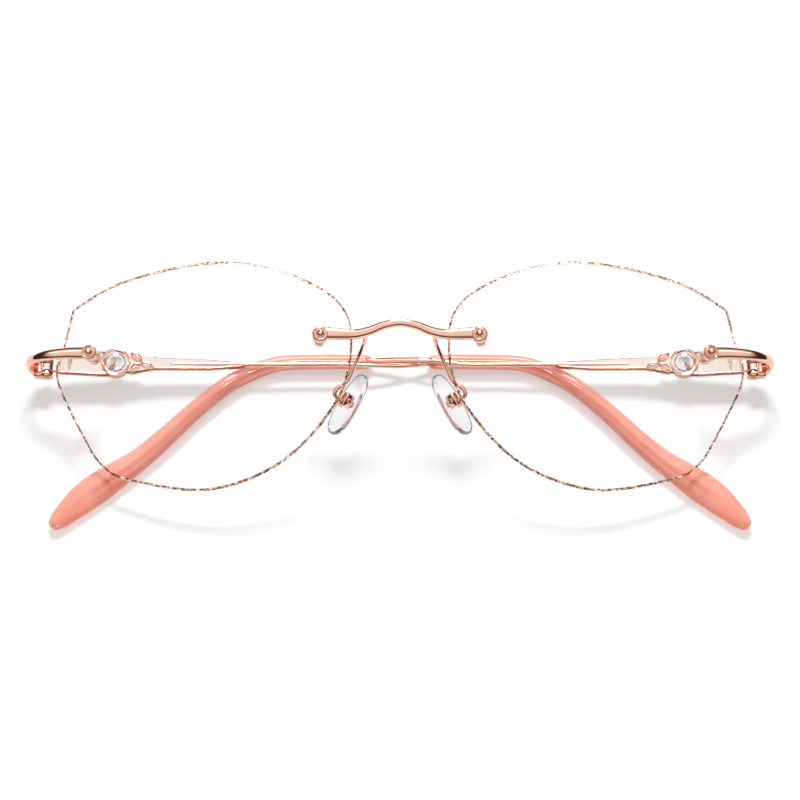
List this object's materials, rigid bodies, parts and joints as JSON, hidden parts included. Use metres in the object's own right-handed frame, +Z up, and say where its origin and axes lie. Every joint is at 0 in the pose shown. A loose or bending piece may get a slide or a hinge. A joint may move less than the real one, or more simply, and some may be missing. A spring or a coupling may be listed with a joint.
{
  "type": "rimless eyeglasses",
  "caption": "Rimless eyeglasses lying folded: two curved cut lenses, an arched bridge, hinged temples with a set stone and translucent sleeves, and rocking clear nose pads",
  "frame": {"origin": "on the table under the middle of the folded glasses", "axes": "+X along the front, +Y towards the top of the frame, +Z up from the table"},
  "size_m": [0.1402, 0.0475, 0.0201],
  "materials": {
    "lens_plastic": "polished clear lens",
    "edge_coating": "sparkling cut rose-gold edge",
    "rose_gold": "polished rose-gold plating",
    "pale_rose_gold": "polished pale rose-gold plating",
    "clear_plastic": "clear moulded plastic",
    "silicone": "clear soft silicone",
    "crystal": "faceted clear crystal",
    "salmon_acetate": "translucent salmon-pink acetate, polished"
  },
  "bodies": {
    "front": {"lens_left": "lens_plastic", "lens_right": "lens_plastic", "lens_edge_left": "edge_coating", "lens_edge_right": "edge_coating", "bridge": "rose_gold", "bridge_rivets": "rose_gold", "bridge_washers": "clear_plastic", "bridge_nuts": "rose_gold", "temple_rivets": "rose_gold", "temple_washers": "clear_plastic", "temple_nuts": "rose_gold", "pad_arm_left": "rose_gold", "pad_arm_right": "rose_gold", "pad_box_left": "rose_gold", "pad_box_right": "rose_gold", "pad_screw_left": "rose_gold", "pad_screw_right": "rose_gold", "endpiece_left": "rose_gold", "endpiece_right": "rose_gold", "hinge_screw_left": "rose_gold", "hinge_screw_right": "rose_gold"},
    "temple_left": {"temple_plate_left": "pale_rose_gold", "bezel_left": "rose_gold", "crystal_left": "crystal", "leaf_ornament_left": "rose_gold", "temple_wire_left": "rose_gold", "temple_sleeve_left": "salmon_acetate"},
    "pad_left": {"nose_pad_left": "silicone"},
    "temple_right": {"temple_plate_right": "pale_rose_gold", "bezel_right": "rose_gold", "crystal_right": "crystal", "leaf_ornament_right": "rose_gold", "temple_wire_right": "rose_gold", "temple_sleeve_right": "salmon_acetate"},
    "pad_right": {"nose_pad_right": "silicone"}
  },
  "joints": [
    {"name": "temple_left_hinge", "type": "hinge", "parent": "front", "child": "temple_left", "pos_m": [-0.0664, 0.00915, 0.00421], "axis": [0, 0.9816, 0.1908], "range_deg": [0, 90]},
    {"name": "temple_right_hinge", "type": "hinge", "parent": "front", "child": "temple_right", "pos_m": [0.0664, 0.00915, 0.00421], "axis": [0, -0.9816, -0.1908], "range_deg": [0, 90]},
    {"name": "pad_left_rock", "type": "hinge", "parent": "front", "child": "pad_left", "pos_m": [-0.01083, -0.00003, 0.00802], "axis": [0.5908, -0.5284, 0.6097], "range_deg": [-8, 8]},
    {"name": "pad_right_rock", "type": "hinge", "parent": "front", "child": "pad_right", "pos_m": [0.01083, -0.00003, 0.00802], "axis": [0.5908, 0.5284, -0.6097], "range_deg": [-8, 8]}
  ]
}
